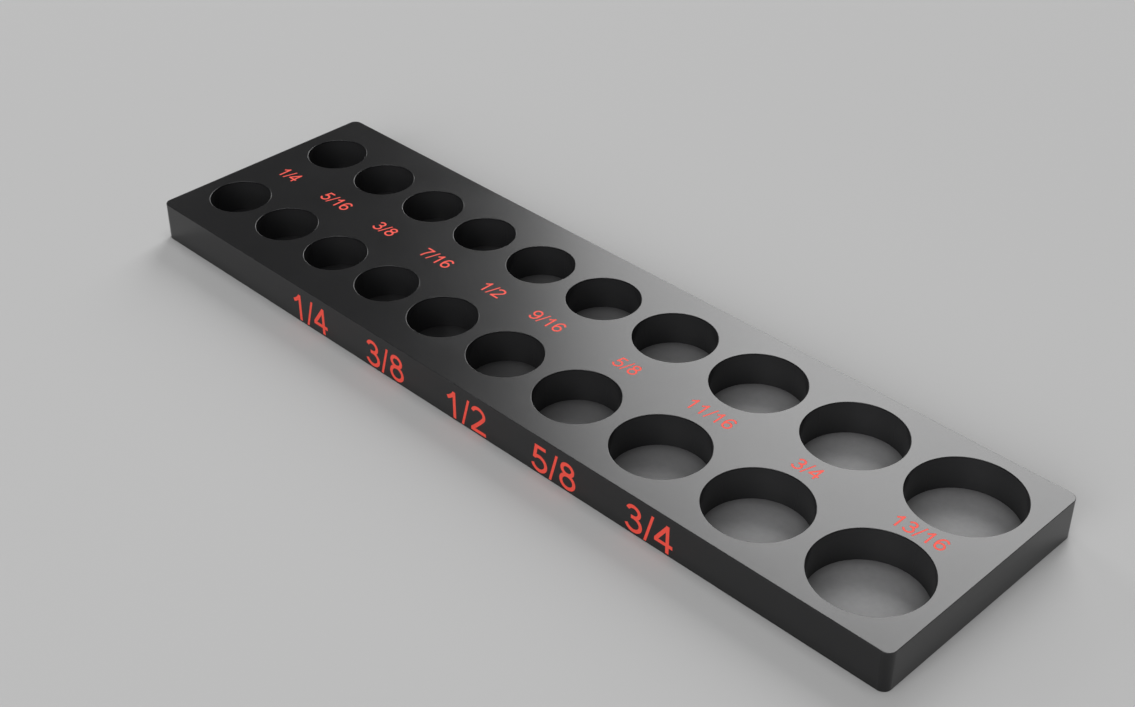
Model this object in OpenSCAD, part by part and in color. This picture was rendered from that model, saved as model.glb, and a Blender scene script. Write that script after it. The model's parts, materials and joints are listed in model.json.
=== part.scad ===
// Socket organizer tray. A flat block holds two matching rows of sockets, each standing in a
// round pocket, from the smallest pair on the left to the largest on the right. Each pair has
// its size in inches between the rows, and five of the sizes stand along the front in large
// numerals. Every numeral is an inlay of a second colour, flush with the block around it.
//
// Millimetres. X runs along the rows, Y from front to back and Z up. The origin is the middle
// of the underside.

/* [Sockets] */
// Outside diameter of the 1/4 inch socket
socket_1_4 = 17; // [15:0.1:20]
// Outside diameter of the 5/16 inch socket
socket_5_16 = 17; // [15:0.1:20]
// Outside diameter of the 3/8 inch socket
socket_3_8 = 17; // [15:0.1:20]
// Outside diameter of the 7/16 inch socket
socket_7_16 = 17; // [15:0.1:21]
// Outside diameter of the 1/2 inch socket
socket_1_2 = 18.5; // [16:0.1:22]
// Outside diameter of the 9/16 inch socket
socket_9_16 = 19.9; // [17:0.1:24]
// Outside diameter of the 5/8 inch socket
socket_5_8 = 22.1; // [19:0.1:26]
// Outside diameter of the 11/16 inch socket
socket_11_16 = 24.8; // [21:0.1:28]
// Outside diameter of the 3/4 inch socket
socket_3_4 = 26.4; // [22:0.1:30]
// Outside diameter of the 13/16 inch socket
socket_13_16 = 28.6; // [24:0.1:33]
// How much wider each pocket is than its socket, so that the socket drops in freely
socket_clearance = 1.6; // [0.6:0.1:3]

/* [Block] */
// Depth of every pocket
pocket_depth = 10; // [9:0.5:25]
// Thickness of the floor under the pockets
floor_t = 2; // [1.6:0.1:5]
// Thickness left between neighbours in a row and at the row's two ends
web = 4.5; // [3:0.1:8]
// Thickness left beside the widest pocket, towards each long side and towards the middle
side_wall = 3.9; // [3.4:0.1:8]
// Radius of the four upright corners
corner_r = 2.4; // [0.5:0.1:3.4]

/* [Numerals on top] */
// Height of the numerals between the rows
label_cap = 4.5; // [3:0.1:6]
// Depth of their inlays
label_depth = 0.6; // [0.4:0.1:1.2]
// How far the 9/16 sits to the left of its pockets
shift_9_16 = 3.1; // [0:0.1:3.5]

/* [Numerals on the front] */
// Height of the numerals along the front
front_cap = 8.6; // [5:0.1:9]
// Height of their feet above the underside
front_foot = 0.6; // [0.4:0.1:1.4]
// Depth of their inlays
front_depth = 0.8; // [0.4:0.1:1.2]
// Distance from the middle of one front size to the next
front_pitch = 32.9; // [20:0.1:45]

/* [Inlays] */
// Gap between an inlay and the wall of its recess
inlay_gap = 0.05; // [0.02:0.01:0.15]

/* [Hidden] */
// Each pair of pockets: the numbers above and below its size's bar, its sockets' diameter, and
// how far its label is moved along X
pairs = [
    ["1", "4", socket_1_4, 0],
    ["5", "16", socket_5_16, 0],
    ["3", "8", socket_3_8, 0],
    ["7", "16", socket_7_16, 0],
    ["1", "2", socket_1_2, 0],
    ["9", "16", socket_9_16, -shift_9_16],
    ["5", "8", socket_5_8, 0],
    ["11", "16", socket_11_16, 0],
    ["3", "4", socket_3_4, 0],
    ["13", "16", socket_13_16, 0],
];
// The sizes that the front repeats, in the order in which they are read
front_sizes = [["1", "4"], ["3", "8"], ["1", "2"], ["5", "8"], ["3", "4"]];

pocket_d = [for (p = pairs) p[2] + socket_clearance];
body_l = total(pocket_d, len(pairs)) + (len(pairs) + 1) * web;
row_pitch = max(pocket_d) + 2 * side_wall;
body_w = 2 * row_pitch;
body_h = floor_t + pocket_depth;
pocket_x = [for (i = [0:len(pairs) - 1])
    -body_l / 2 + (i + 1) * web + total(pocket_d, i) + pocket_d[i] / 2];
front_x = [for (i = [0:len(front_sizes) - 1]) (i - (len(front_sizes) - 1) / 2) * front_pitch];

// A cut runs this far past the face that it opens
past = 1;
body_colour = [0.11, 0.11, 0.12];
numeral_colour = [0.86, 0.20, 0.15];
$fn = 96;

function size_label_name(p) = str("size_label_", p[0], "_", p[1]);
function front_label_name(s) = str("front_label_", s[0], "_", s[1]);

// The sum of a list's first n values
function total(v, n) = n == 0 ? 0 : v[n - 1] + total(v, n - 1);

// Numerals. Each is drawn with strokes of one pen, on a grid where a numeral stands 1 high with
// its left edge near x = 0. They are scaled by their height, which is called cap below.

// Width of the pen's line
pen = 0.125;
// Distance from a numeral to the next character, and from a slash
numeral_step = 0.777;
slash_step = 0.388;
// How far the slash reaches above and below the numerals, and how far it leans
slash_reach = 0.018;
slash_lean = 0.29;
// The 9 is the 6 turned half way round this point
nine_pivot = [0.388, 0.49];
// A round stroke turns this many degrees at each of its points
arc_step = 12;

function unit(v) = v / norm(v);

// Points along an ellipse with centre c and half axes r, from angle a to angle b
function arc(c, r, a, b) =
    let(n = ceil(abs(b - a) / arc_step))
    [for (i = [0:n]) let(t = a + (b - a) * i / n) c + [r[0] * cos(t), r[1] * sin(t)]];

// Points along a curve that leaves a towards b and reaches c coming from b
function bend(a, b, c) =
    let(n = 5)
    [for (i = [0:n]) let(t = i / n) a * (1 - t) * (1 - t) + b * 2 * t * (1 - t) + c * t * t];

// The strokes of a numeral, each a list of points along its middle
function strokes(c) =
    c == "1" ? [
        [[0.459, 0], [0.459, 1]],
        bend([0.15, 0.69], [0.33, 0.77], [0.459, 0.955]),
    ] :
    c == "2" ? [
        concat(
            arc([0.385, 0.725], [0.255, 0.212], 170, -20),
            bend([0.606, 0.619], [0.5, 0.465], [0.095, 0.075])
        ),
        [[0.045, pen / 2], [0.705, pen / 2]],
    ] :
    c == "3" ? [
        arc([0.375, 0.743], [0.225, 0.194], 165, -90),
        [[0.28, 0.55], [0.42, 0.55]],
        arc([0.375, 0.305], [0.278, 0.242], 90, -165),
    ] :
    c == "4" ? [
        [[0.018, 0.296], [0.709, 0.296]],
        [[0.513, 0], [0.513, 1]],
        [[0.075, 0.325], [0.5, 0.93]],
    ] :
    c == "5" ? [
        [[0.2, 1 - pen / 2], [0.655, 1 - pen / 2]],
        [[0.26, 0.94], [0.174, 0.47]],
        arc([0.37, 0.325], [0.28, 0.262], 134, -165),
    ] :
    c == "6" ? [
        arc([0.42, 0.49], [0.31, 0.447], 40, 200),
    ] :
    c == "7" ? [
        [[0.065, 1 - pen / 2], [0.705, 1 - pen / 2]],
        bend([0.64, 0.9], [0.33, 0.5], [0.32, 0]),
    ] :
    c == "9" ? [
        for (s = strokes("6")) [for (p = s) 2 * nine_pivot - p],
    ] :
    [];

// The closed round strokes of a numeral, each as the centre and half axes of its middle line
function rings(c) =
    c == "6" ? [[[0.395, 0.315], [0.262, 0.252]]] :
    c == "8" ? [[[0.388, 0.752], [0.22, 0.185]], [[0.388, 0.305], [0.268, 0.242]]] :
    c == "9" ? [for (r = rings("6")) [2 * nine_pivot - r[0], r[1]]] :
    [];

// From point i of a path to the left side of a line 2 wide that follows it
function to_left(path, i) =
    let(
        last = len(path) - 1,
        from = unit(path[max(i, 1)] - path[max(i, 1) - 1]),
        onward = unit(path[min(i, last - 1) + 1] - path[min(i, last - 1)]),
        mean = unit(from + onward)
    )
    [-mean[1], mean[0]] / (mean * from);

// A line along a path, half_w to each side of it, with its square ends moved out by reach
module pen_line(path, half_w, reach) {
    last = len(path) - 1;
    first_step = unit(path[1] - path[0]);
    last_step = unit(path[last] - path[last - 1]);
    drawn = [for (i = [0:last])
        path[i] + (i == 0 ? -reach * first_step : i == last ? reach * last_step : [0, 0])];
    polygon(concat(
        [for (i = [0:last]) drawn[i] - half_w * to_left(drawn, i)],
        [for (i = [last:-1:0]) drawn[i] + half_w * to_left(drawn, i)]
    ));
}

module pen_ring(centre, radii, half_w) {
    difference() {
        polygon(arc(centre, radii + [half_w, half_w], 0, 360 - arc_step));
        polygon(arc(centre, radii - [half_w, half_w], 0, 360 - arc_step));
    }
}

module slash(cap, grow) {
    rise = cap * (1 + 2 * slash_reach) + 2 * grow;
    lean = slash_lean * rise / (1 + 2 * slash_reach);
    thick = cap * (slash_step - slash_lean) + 2 * grow * norm([1, slash_lean]);
    left = (cap * slash_step - lean - thick) / 2;
    translate([left, -cap * slash_reach - grow])
        polygon([[0, 0], [thick, 0], [thick + lean, rise], [lean, rise]]);
}

// One character. Its outline is moved out by grow all round: 0 for an inlay, and the inlay gap
// for the recess that holds it.
module character(c, cap, grow) {
    half_w = cap * pen / 2 + grow;
    for (path = strokes(c))
        pen_line(cap * path, half_w, grow);
    for (ring = rings(c))
        pen_ring(cap * ring[0], cap * ring[1], half_w);
    if (c == "/")
        slash(cap, grow);
}

function text_step(c) = c == "/" ? slash_step : numeral_step;

// How far along a text its character n starts
function text_reach(text, n) = n == 0 ? 0 : text_step(text[n - 1]) + text_reach(text, n - 1);

// A size such as 5/16, centred on x = 0 and standing on y = 0
module fraction(size, cap, grow) {
    text = str(size[0], "/", size[1]);
    middle = text_reach(text, len(text)) / 2;
    for (i = [0:len(text) - 1])
        translate([cap * (text_reach(text, i) - middle), 0])
            character(text[i], cap, grow);
}

// Places. A size lies on the top face between its two pockets, or stands on the front face.
// Both draw it from the floor of its recess outwards, as deep as they are told.

module on_top(i, depth, grow) {
    translate([pocket_x[i] + pairs[i][3], -label_cap / 2, body_h - label_depth])
        linear_extrude(depth)
            fraction(pairs[i], label_cap, grow);
}

module on_front(i, depth, grow) {
    translate([front_x[i], -body_w / 2 + front_depth, front_foot])
        rotate([90, 0, 0])
            linear_extrude(depth)
                fraction(front_sizes[i], front_cap, grow);
}

// The block's outline from above
module outline() {
    square([body_l - 2 * corner_r, body_w], center = true);
    square([body_l, body_w - 2 * corner_r], center = true);
    for (x = [-1, 1], y = [-1, 1])
        translate([x * (body_l / 2 - corner_r), y * (body_w / 2 - corner_r)])
            circle(corner_r);
}

// The two pockets of one pair, from their floor up past the top face
module pocket_pair(i) {
    for (y = [-1, 1])
        translate([pocket_x[i], y * row_pitch / 2, floor_t - past])
            cylinder(d = pocket_d[i], h = pocket_depth + 2 * past);
}

module front_recesses() {
    for (i = [0:len(front_sizes) - 1])
        on_front(i, front_depth + past, inlay_gap);
}

// Pieces. The block with the pockets and the floor under them are one moulding, kept as two
// solids that lie face to face, so that every pocket is a plain round hole with a flat end.

module tray_block() {
    color(body_colour)
        difference() {
            translate([0, 0, floor_t])
                linear_extrude(pocket_depth)
                    outline();
            for (i = [0:len(pairs) - 1]) {
                pocket_pair(i);
                on_top(i, label_depth + past, inlay_gap);
            }
            front_recesses();
        }
}

module tray_floor() {
    color(body_colour)
        difference() {
            linear_extrude(floor_t)
                outline();
            front_recesses();
        }
}

module size_label(i) {
    color(numeral_colour)
        on_top(i, label_depth, 0);
}

module front_label(i) {
    color(numeral_colour)
        on_front(i, front_depth, 0);
}

tray_block();
tray_floor();
for (i = [0:len(pairs) - 1])
    size_label(i);
for (i = [0:len(front_sizes) - 1])
    front_label(i);
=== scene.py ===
import json
import math

import bmesh
import bpy
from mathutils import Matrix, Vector


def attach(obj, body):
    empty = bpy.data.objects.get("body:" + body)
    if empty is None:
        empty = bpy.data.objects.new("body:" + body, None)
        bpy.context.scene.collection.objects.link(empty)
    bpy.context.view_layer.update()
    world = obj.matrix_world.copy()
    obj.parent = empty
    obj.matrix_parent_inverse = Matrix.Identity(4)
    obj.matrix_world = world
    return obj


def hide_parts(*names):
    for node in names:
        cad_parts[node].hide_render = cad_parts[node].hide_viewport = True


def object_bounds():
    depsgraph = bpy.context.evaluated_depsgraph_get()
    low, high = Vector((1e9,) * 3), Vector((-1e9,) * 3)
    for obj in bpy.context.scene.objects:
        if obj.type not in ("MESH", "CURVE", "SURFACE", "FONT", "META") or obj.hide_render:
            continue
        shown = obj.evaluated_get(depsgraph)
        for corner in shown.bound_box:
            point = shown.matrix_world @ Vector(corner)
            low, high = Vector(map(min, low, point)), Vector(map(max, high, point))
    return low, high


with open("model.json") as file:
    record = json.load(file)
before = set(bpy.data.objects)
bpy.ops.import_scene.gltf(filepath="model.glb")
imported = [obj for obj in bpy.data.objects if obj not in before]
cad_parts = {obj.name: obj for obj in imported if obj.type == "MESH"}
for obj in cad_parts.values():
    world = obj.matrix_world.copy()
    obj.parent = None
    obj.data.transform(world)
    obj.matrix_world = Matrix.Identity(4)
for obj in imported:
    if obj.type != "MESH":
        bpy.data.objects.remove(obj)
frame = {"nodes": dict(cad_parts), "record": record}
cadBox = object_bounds()
blockLow, blockHigh = cadBox
pockets = [m for m in frame["record"]["mounts"] if m["name"].startswith("pocket_")]
labels = {n: o for n, o in frame["nodes"].items() if "label" in n}
scene = bpy.context.scene
scene.view_settings.view_transform = "Standard"
print("frame loaded:", len(frame["nodes"]), "nodes")

samePlace = 0.000001  # metres within which two places count as one
sameTurn = 0.0001  # how far a normal's part along an axis may fall short of 1
steep = 0.9  # the part of a normal along an axis, past which its face looks that way
cutScale = 1000  # a piece is this much larger while it is cut, for the sake of its small faces
cutWeld = 0.001  # points nearer than this become one after the cut, at that size
looseWeld = 0.0000001  # the same for the loose triangles of a node, at their own size


def letGo():
    if bpy.context.object and bpy.context.object.mode != "OBJECT":
        bpy.ops.object.mode_set(mode="OBJECT")
    bpy.ops.object.select_all(action="DESELECT")


def pickUp(*pieces):  # the first one becomes the active object
    letGo()
    for piece in pieces:
        piece.select_set(True)
    bpy.context.view_layer.objects.active = pieces[0]


def settle(piece):  # the place goes into the mesh, and the object to the origin
    pickUp(piece)
    bpy.ops.object.transform_apply(location=True, rotation=True, scale=True)


def resize(piece, times):
    piece.scale = (times, times, times)
    settle(piece)


def useModifier(piece, kind, **settings):
    pickUp(piece)
    modifier = piece.modifiers.new(kind.lower(), kind)
    for name, value in settings.items():
        setattr(modifier, name, value)
    bpy.ops.object.modifier_apply(modifier=modifier.name)


def joinPieces(pieces):
    pickUp(*pieces)
    bpy.ops.object.join()
    return bpy.context.object


def choose(piece, wanted, sort="EDGE"):  # leaves the piece in edit mode
    pickUp(piece)
    bpy.ops.object.mode_set(mode="EDIT")
    bpy.ops.mesh.select_mode(type=sort)
    bpy.ops.mesh.select_all(action="DESELECT")
    mesh = bmesh.from_edit_mesh(piece.data)
    for item in mesh.edges if sort == "EDGE" else mesh.faces:
        item.select_set(wanted(item))
    bmesh.update_edit_mesh(piece.data)


def cutAway(piece, cutter):
    resize(piece, cutScale)
    resize(cutter, cutScale)
    useModifier(
        piece, "BOOLEAN", operation="DIFFERENCE", solver="EXACT", use_self=True, object=cutter
    )
    bpy.data.objects.remove(cutter)
    choose(piece, isAny, "FACE")
    bpy.ops.mesh.remove_doubles(threshold=cutWeld)
    bpy.ops.mesh.dissolve_degenerate(threshold=cutWeld)
    letGo()
    resize(piece, 1 / cutScale)


def isAny(item):
    return True


def isUpright(edge):
    a, b = (v.co for v in edge.verts)
    return (a - b).to_2d().length < samePlace


def isOutline(edge):  # where a level face meets an upright one
    tilts = sorted(abs(face.normal.z) for face in edge.link_faces)
    return len(tilts) == 2 and tilts[0] < 1 - steep and tilts[1] > steep


def isUpper(face):
    return face.normal.z > steep


def isAbove(face):  # looks up, and stands above the block
    return isUpper(face) and face.calc_center_median().z > blockHigh.z


def isBefore(face):  # looks forwards, and stands before the block
    return face.normal.y < -steep and face.calc_center_median().y < blockLow.y


def isFlat(face):  # is level, or lies in one of the block's sides
    middle = face.calc_center_median()
    return 1 - abs(face.normal.z) < sameTurn or any(
        abs(middle[axis] - side[axis]) < samePlace for side in cadBox for axis in range(2)
    )


class Wire:  # an output of a shader node, or a bare tree before its first node
    def __init__(self, tree, socket=None):
        self.tree, self.socket = tree, socket

    def node(self, kind, settings=None, sockets=None, out=0):
        made = self.tree.nodes.new(kind)
        for name, value in (settings or {}).items():
            setattr(made, name, value)
        for name, value in (sockets or {}).items():
            if isinstance(value, Wire):
                self.tree.links.new(value.socket, made.inputs[name])
            else:
                made.inputs[name].default_value = value
        return Wire(self.tree, made.outputs[out])

    def maths(self, operation, *values):
        return self.node("ShaderNodeMath", {"operation": operation}, dict(enumerate(values)))

    def __add__(self, other):
        return self.maths("ADD", self, other)

    def __radd__(self, other):
        return self.maths("ADD", other, self)

    def __sub__(self, other):
        return self.maths("SUBTRACT", self, other)

    def __rsub__(self, other):
        return self.maths("SUBTRACT", other, self)

    def __mul__(self, other):
        return self.maths("MULTIPLY", self, other)

    def __rmul__(self, other):
        return self.maths("MULTIPLY", other, self)

    def __truediv__(self, other):
        return self.maths("DIVIDE", self, other)

    def __rtruediv__(self, other):
        return self.maths("DIVIDE", other, self)

    def __abs__(self):
        return self.maths("ABSOLUTE", self)

    def clamped(self):
        return self.maths("MINIMUM", self.maths("MAXIMUM", self, 0.0), 1.0)

    def between(self, low, high):  # 0 at low and 1 at high, and the same beyond them
        return ((self - low) / (high - low)).clamped()

    def swing(self, amount):  # noise from 0 to 1, made to run to both sides of nothing
        return (self - 0.5) * amount


def newPlastic(name, colour):
    plastic = bpy.data.materials.new(name)
    plastic.use_nodes = True
    plastic.diffuse_color = (*colour, 1)
    shader = plastic.node_tree.nodes["Principled BSDF"]
    return plastic, Wire(plastic.node_tree), shader.inputs


def feed(socket, wire):
    wire.tree.links.new(wire.socket, socket)


def noiseAt(place, size, detail=2.0, harshness=0.55):  # soft, from 0 to 1, size in metres
    return place.node(
        "ShaderNodeTexNoise", {},
        {"Vector": place, "Scale": 1 / size, "Detail": detail, "Roughness": harshness},
    )


def blend(share, low, high):  # from one colour to another
    ends = [end if isinstance(end, Wire) else (*end, 1) for end in (low, high)]
    return share.node(
        "ShaderNodeMix", {"data_type": "RGBA"}, {0: share, 6: ends[0], 7: ends[1]}, out=2
    )


def bumped(relief, strength, depth):
    return relief.node(
        "ShaderNodeBump", {}, {"Strength": strength, "Distance": depth, "Height": relief}
    )


tray = {
    "cornerRadius": 0.0024,  # the four upright corners
    "cornerSteps": 12,
    "brimRound": 0.00012,  # how far the edges are broken
    "brimSteps": 3,
    "pocketSides": 160,
    "pocketPast": 0.002,  # how far a pocket's cutter runs past the top
    "recessGap": 0.00005,  # between a numeral and the wall of its recess
    "recessPast": 0.0003,  # how far a recess's cutter runs past its face
    "smoothAngle": 35,  # degrees
    "colour": (0.0055, 0.0055, 0.0060),
    "paleColour": (0.0080, 0.0080, 0.0086),  # where the moulding is a little duller
    "cloud": 0.016,  # the size of those places, in metres
    "patchesPerCloud": 9,  # smaller ones, for the rubbing and the scuffs
    "roughness": 0.22,
    "roughnessByCloud": 0.05,
    "roughnessByPatch": 0.03,
    "grain": 0.00022,
    "grainStrength": 0.6,
    "grainDepth": 0.000001,
    "patchRelief": 0.5,  # as a share of the grain's
    "rubbedColour": (0.035, 0.035, 0.037),  # along the brims
    "rubbedBand": 0.0003,  # below the top
    "rubbedFrom": 0.31818,  # the noise of the patches where the rubbing starts
    "rubbedFull": 0.77273,
    "wallLightColour": (0.023, 0.023, 0.024),  # painted light: the pocket walls are painted lighter than the block, as if lit
    "outerSkin": 0.001,  # no pocket comes this near to a side of the block
    "maskBlur": 0.000125,  # over which the pockets' colours start
    "paintedFloorColour": (0.300, 0.300, 0.304),  # painted light: the pocket floors are painted pale grey, as if lit
    "pocketRoughness": 0.25,  # added on the pocket floors
    "floorLightFrom": -0.046,  # painted light on the pocket floors grows along the tray, from the small sockets' end to the large ones'
    "floorLightFull": 0.085,
    "floorLightSlant": 0.7,  # and more painted light in the back row
    "floorLightShare": 0.96,  # of the painted floor colour, in the middle of a floor
    "floorLightByCloud": 0.3,
    "floorLightByPatch": 0.2,
    "floorLightAtWall": 0.4,  # painted shade: share of the floors' painted light that is left where a floor meets its wall
}


def metres(pocket, size):
    return pocket["dims"][size] / 1000


def pocketCutter(pocket):  # a drum whose mouth flares by the round of the brim
    x, y, top = pocket["pos_m"]
    radius, deep = metres(pocket, "r_mm"), metres(pocket, "length_mm")
    flare, steps = tray["brimRound"], tray["brimSteps"]
    bpy.ops.mesh.primitive_cylinder_add(
        vertices=tray["pocketSides"], radius=radius, depth=deep - flare,
        location=(x, y, top - (deep + flare) / 2),
    )
    drum = bpy.context.object
    settle(drum)
    choose(drum, isUpper, "FACE")
    turns = [math.pi / 2 * i / steps for i in range(steps + 1)]
    for last, turn in zip(turns, turns[1:]):
        wider = (radius + flare * (1 - math.cos(turn))) / (radius + flare * (1 - math.cos(last)))
        rise = flare * (math.sin(turn) - math.sin(last))
        bpy.ops.mesh.extrude_region_move(TRANSFORM_OT_translate={"value": (0, 0, rise)})
        bpy.ops.transform.resize(value=(wider, wider, 1), center_override=(x, y, 0))
    bpy.ops.mesh.extrude_region_move(TRANSFORM_OT_translate={"value": (0, 0, tray["pocketPast"])})
    letGo()
    return drum


def looseCopy(label):
    mould = label.copy()
    mould.data = label.data.copy()
    mould.parent = None
    scene.collection.objects.link(mould)
    return mould


letGo()
bpy.ops.mesh.primitive_cube_add(
    size=1, location=(blockLow + blockHigh) / 2, scale=blockHigh - blockLow
)
trayBody = bpy.context.object
trayBody.name = trayBody.data.name = "trayBody"
settle(trayBody)
choose(trayBody, isUpright)
bpy.ops.mesh.bevel(offset=tray["cornerRadius"], segments=tray["cornerSteps"], affect="EDGES")
choose(trayBody, isOutline)
bpy.ops.mesh.bevel(offset=tray["brimRound"], segments=tray["brimSteps"], affect="EDGES")
letGo()
pocketDrums = [pocketCutter(pocket) for pocket in pockets]
print("block:", len(pockets), "pockets")

# the recesses follow the numerals themselves, a hair wider
recessCutter = joinPieces([looseCopy(label) for label in labels.values()])
choose(recessCutter, isAny, "FACE")
bpy.ops.mesh.remove_doubles(threshold=looseWeld)
bpy.ops.mesh.normals_make_consistent(inside=False)
bpy.ops.transform.shrink_fatten(value=tray["recessGap"])
choose(recessCutter, isAbove, "FACE")
bpy.ops.transform.translate(value=(0, 0, tray["recessPast"]))
choose(recessCutter, isBefore, "FACE")
bpy.ops.transform.translate(value=(0, -tray["recessPast"], 0))
letGo()
cutAway(trayBody, joinPieces([recessCutter, *pocketDrums]))

pickUp(trayBody)
bpy.ops.object.shade_smooth_by_angle(angle=math.radians(tray["smoothAngle"]))
choose(trayBody, isFlat, "FACE")
bpy.ops.mesh.faces_shade_flat()
useModifier(trayBody, "WEIGHTED_NORMAL", keep_sharp=True)
print("recesses:", len(labels), "labels,", len(trayBody.data.polygons), "faces")

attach(trayBody, "root")
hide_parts("tray_block", "tray_floor")

trayPlastic, start, shader = newPlastic("trayPlastic", tray["colour"])
place = start.node("ShaderNodeTexCoord", out="Object")
along, across, height = (
    start.node("ShaderNodeSeparateXYZ", {}, {0: place}, out=axis) for axis in range(3)
)
normal = start.node("ShaderNodeNewGeometry", out="Normal")
upward = start.node("ShaderNodeSeparateXYZ", {}, {0: normal}, out=2)
aside = abs(across)
cloud = noiseAt(place, tray["cloud"], detail=4.0)
patch = noiseAt(place, tray["cloud"] / tray["patchesPerCloud"], detail=3.0)
grain = noiseAt(place, tray["grain"])


def below(value, limit):  # 1 where the value stays under the limit
    return value.between(limit, limit - tray["maskBlur"])


def nearAxis(pocket):  # 1 at the axis of a pocket and 0 at its wall
    x, y = pocket["pos_m"][:2]
    alongIt, acrossIt = along - x, aside - abs(y)
    return 1 - (alongIt * alongIt + acrossIt * acrossIt) / metres(pocket, "r_mm") ** 2


facingUp = upward.between(steep, 1)
level = abs(upward).between(steep, 1)  # and facing down as well
inside = (
    below(height, blockHigh.z - tray["rubbedBand"])
    * below(aside, blockHigh.y - tray["outerSkin"])
    * below(abs(along), blockHigh.x - tray["outerSkin"])
)
brim = height.between(blockHigh.z - tray["rubbedBand"], blockHigh.z) * (1 - level)
rubbed = brim * patch.between(tray["rubbedFrom"], tray["rubbedFull"])

# both rows stand as far from the middle, so the front one gives the places of both
middle, *others = (nearAxis(pocket) for pocket in pockets if "front" in pocket["name"])
for other in others:
    middle = middle.maths("MAXIMUM", middle, other)
# painted shade: the floors' painted light falls off from each pocket's axis towards its wall
shadeTowardWall = tray["floorLightAtWall"] + middle.clamped() * (1 - tray["floorLightAtWall"])
# painted light: stronger along the tray towards the large sockets, and in the back row
lightAcrossTray = (along + across * tray["floorLightSlant"]).between(tray["floorLightFrom"], tray["floorLightFull"])
uneven = tray["floorLightShare"] + cloud.swing(tray["floorLightByCloud"]) + patch.swing(tray["floorLightByPatch"])
# painted light on the pocket floors, with some uneven tone in it
paintedFloorLight = (inside * facingUp * lightAcrossTray * shadeTowardWall * uneven).clamped()

base = blend(cloud, tray["colour"], tray["paleColour"])
base = blend(rubbed, base, tray["rubbedColour"])
# painted light: the pocket walls are painted lighter
base = blend(inside * (1 - level), base, tray["wallLightColour"])
# painted light: the pocket floors get their pale painted colour
base = blend(paintedFloorLight, base, tray["paintedFloorColour"])
feed(shader["Base Color"], base)
feed(
    shader["Roughness"],
    tray["roughness"] + inside * level * tray["pocketRoughness"]
    + cloud.swing(tray["roughnessByCloud"]) + patch.swing(tray["roughnessByPatch"]),
)
relief = grain + patch * tray["patchRelief"]
feed(shader["Normal"], bumped(relief, tray["grainStrength"], tray["grainDepth"]))
trayBody.data.materials.clear()
trayBody.data.materials.append(trayPlastic)
print("block's plastic laid on")


numerals = {
    "colour": (0.98, 0.098, 0.066),
    "deepColour": (0.92, 0.085, 0.058),
    "mottle": 0.0011,  # the size of the deeper places, in metres
    "deepUnder": 0.1875,  # the noise that is all deep in colour
    "paleOver": 0.8125,
    "roughness": 0.62,
    "roughnessByMottle": 0.12,
    "shine": 0.3,
    "grain": 0.00018,
    "grainStrength": 0.6,
    "grainDepth": 0.000003,
}

numeralPlastic, start, shader = newPlastic("numeralPlastic", numerals["colour"])
place = start.node("ShaderNodeTexCoord", out="Object")
mottle = noiseAt(place, numerals["mottle"], detail=3.0)
grain = noiseAt(place, numerals["grain"])
pale = mottle.between(numerals["deepUnder"], numerals["paleOver"])
feed(shader["Base Color"], blend(pale, numerals["deepColour"], numerals["colour"]))
feed(shader["Roughness"], numerals["roughness"] + mottle.swing(numerals["roughnessByMottle"]))
feed(shader["Normal"], bumped(grain, numerals["grainStrength"], numerals["grainDepth"]))
shader["Specular IOR Level"].default_value = numerals["shine"]
for label in labels.values():
    for slot in label.material_slots:
        slot.material = numeralPlastic
print("numerals' plastic laid on")


view = {
    "place": (0.28166, -0.28166, 0.28655),
    "direction": (-1, 1, -1),
    "lens": 56.08,
    "sensor": 36,
    "clipStart": 0.01,
    "clipEnd": 50,
}


def turned(direction):  # so that a camera or a lamp looks that way
    return Vector(direction).to_track_quat("-Z", "Y").to_euler()


letGo()
bpy.ops.object.camera_add(location=view["place"], rotation=turned(view["direction"]))
camera = bpy.context.object
camera.data.lens = view["lens"]
camera.data.sensor_width = view["sensor"]
camera.data.clip_start = view["clipStart"]
camera.data.clip_end = view["clipEnd"]
scene.camera = camera
print("camera set")


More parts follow.
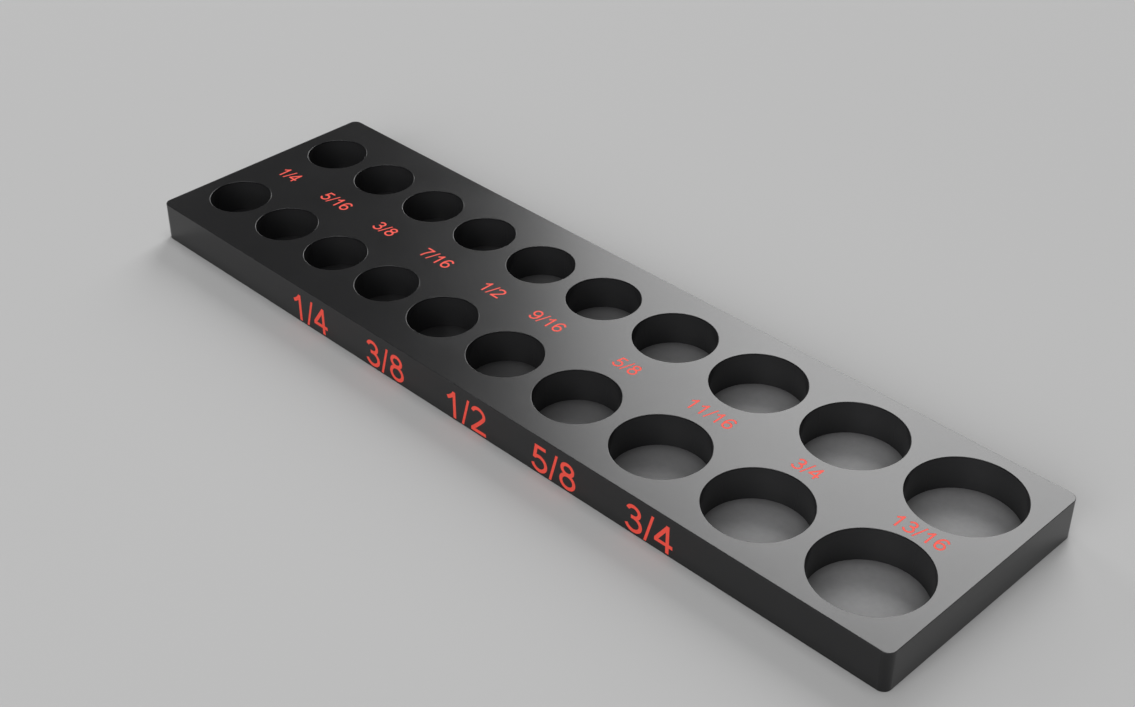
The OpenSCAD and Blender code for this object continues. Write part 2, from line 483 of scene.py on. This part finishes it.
studio = {
    "floorSize": 12,
    "floorColour": (0.514, 0.514, 0.514),
    "floorRoughness": 0.9,
    "floorShine": 0.0,
    "airColour": (1, 1, 1),
    "airLevel": 0.10,
    "lampPower": 4,  # watts from each square metre of a lamp, for each step of its level
}
lamps = {  # place, the point it faces, width, height, and how bright its face is
    "backPanel": {
        "place": (-1.4365, 3.0, 2.25), "faces": (-1.4365, 0, 2.25),
        "width": 1.815, "height": 3.3, "level": 4.7,
    },
    "edgePanel": {
        "place": (-2.672, 3.0, 2.25), "faces": (-2.672, 0, 2.25),
        "width": 0.656, "height": 3.3, "level": 3.5,
    },
    "sidePanel": {
        "place": (-3.4, 0.8, 1.0), "faces": (0, 0, 1.0),
        "width": 1.2, "height": 1.4, "level": 3.6,
    },
    "frontPanel": {
        "place": (0.744, -2.778, 1.403), "faces": (0, 0, 0),
        "width": 2.8, "height": 2.0, "level": 2.75,
    },
    "topPanel": {
        "place": (0.2, 0, 3.0), "faces": (0, 0, 0),
        "width": 1.6, "height": 1.6, "level": 3.0,
    },
}

letGo()
bpy.ops.mesh.primitive_plane_add(size=studio["floorSize"], location=(0, 0, 0))
floor = bpy.context.object
floor.name = "studioFloor"
floorPaint, start, shader = newPlastic("floorPaint", studio["floorColour"])
shader["Base Color"].default_value = (*studio["floorColour"], 1)
shader["Roughness"].default_value = studio["floorRoughness"]
shader["Specular IOR Level"].default_value = studio["floorShine"]
floor.data.materials.append(floorPaint)

world = bpy.data.worlds.new("studioAir")
scene.world = world
world.use_nodes = True
air = world.node_tree.nodes["Background"].inputs
air["Color"].default_value = (*studio["airColour"], 1)
air["Strength"].default_value = studio["airLevel"]

for name, lamp in lamps.items():
    bpy.ops.object.light_add(
        type="AREA", location=lamp["place"],
        rotation=turned(Vector(lamp["faces"]) - Vector(lamp["place"])),
    )
    light = bpy.context.object
    light.name = name
    light.data.shape = "RECTANGLE"
    light.data.size, light.data.size_y = lamp["width"], lamp["height"]
    light.data.energy = studio["lampPower"] * lamp["level"] * lamp["width"] * lamp["height"]
    light.visible_camera = False
print("studio:", len(lamps), "lamps")

letGo()
bpy.context.view_layer.update()
